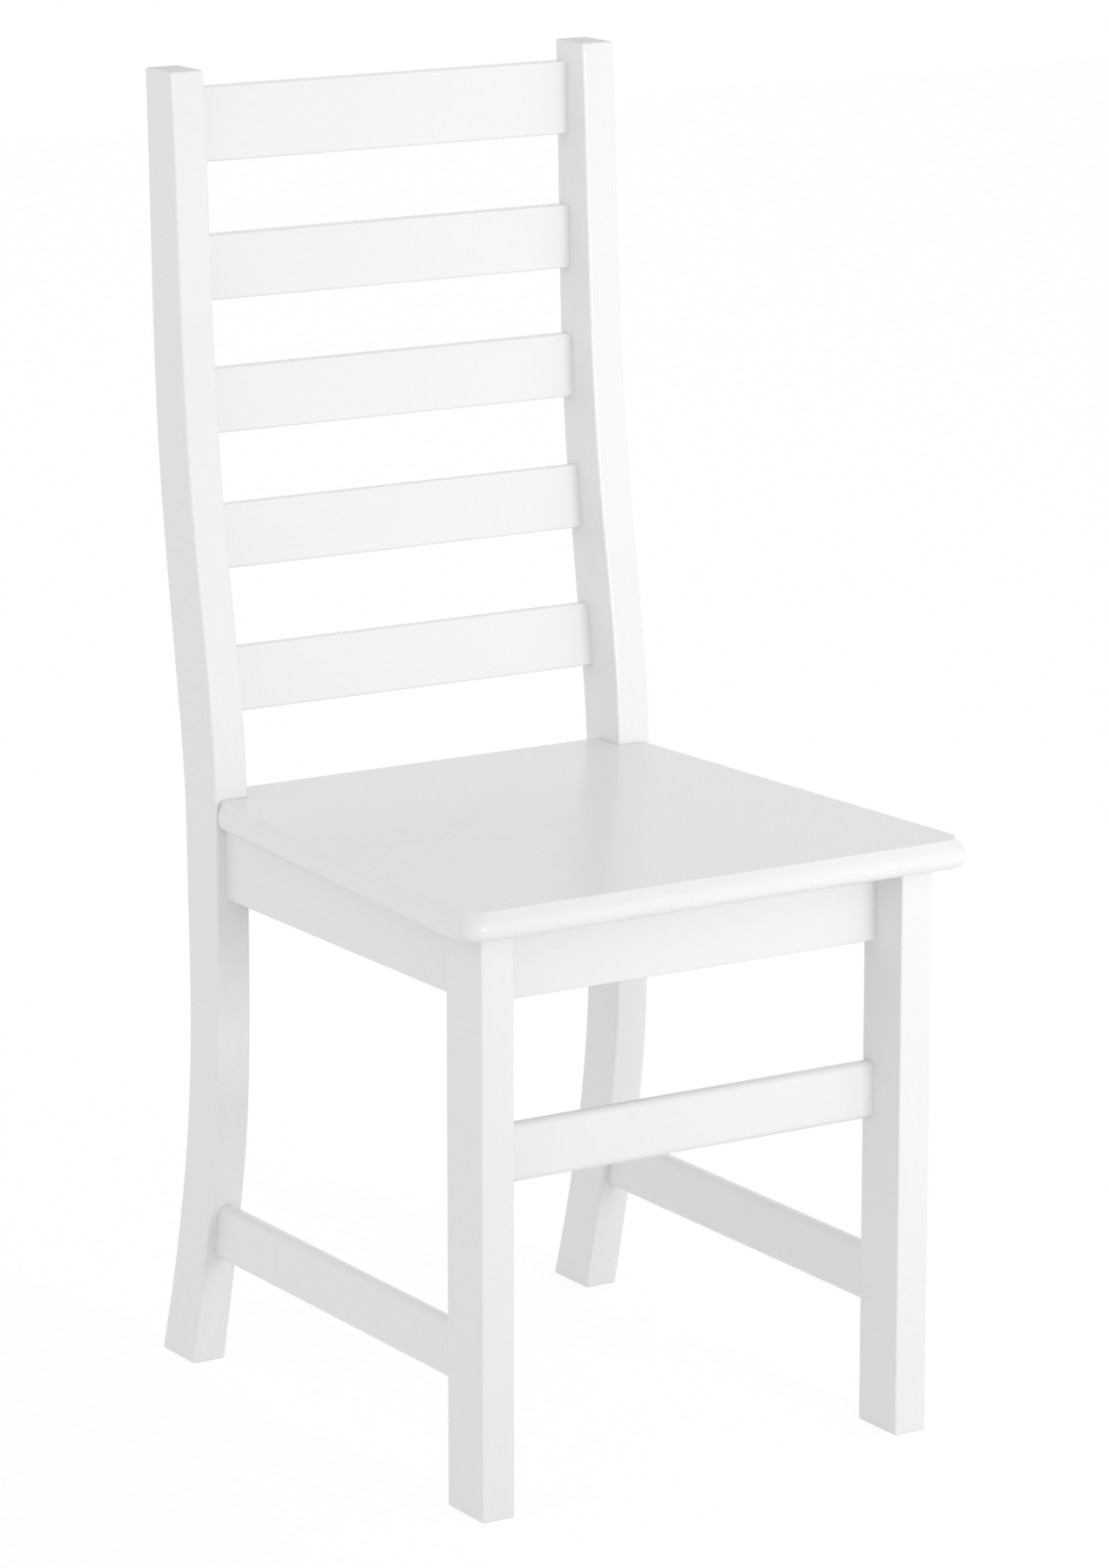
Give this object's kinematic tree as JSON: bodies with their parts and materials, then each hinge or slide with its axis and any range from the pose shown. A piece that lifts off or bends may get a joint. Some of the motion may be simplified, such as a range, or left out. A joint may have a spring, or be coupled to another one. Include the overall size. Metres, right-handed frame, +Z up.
{
  "type": "kitchen chair",
  "caption": "White painted wooden kitchen chair with swept rear posts, a ladder back of flat slats, a soft-nosed board seat, aprons and stretchers.",
  "frame": {"origin": "on the floor, under the middle of the chair's box", "axes": "+Z up, +Y towards the back of the chair, +X to the right as seen from the front"},
  "size_m": [0.4344, 0.498, 1],
  "materials": {
    "white_paint": "satin white paint",
    "bare_wood": "unpainted, sanded",
    "screw_steel": "zinc plated"
  },
  "bodies": {
    "root": {"seat_board": "white_paint", "front_leg_left": "white_paint", "front_leg_right": "white_paint", "rear_post_left": "white_paint", "rear_post_right": "white_paint", "front_apron": "white_paint", "rear_apron": "white_paint", "left_apron": "white_paint", "right_apron": "white_paint", "front_stretcher": "white_paint", "left_stretcher": "white_paint", "right_stretcher": "white_paint", "back_slat_1": "white_paint", "back_slat_2": "white_paint", "back_slat_3": "white_paint", "back_slat_4": "white_paint", "back_slat_5": "white_paint", "corner_block_front_left": "bare_wood", "corner_block_front_right": "bare_wood", "corner_block_rear_left": "bare_wood", "corner_block_rear_right": "bare_wood", "apron_dowels": "bare_wood", "stretcher_dowels": "bare_wood", "block_screws": "screw_steel", "seat_screws": "screw_steel"}
  },
  "joints": []
}
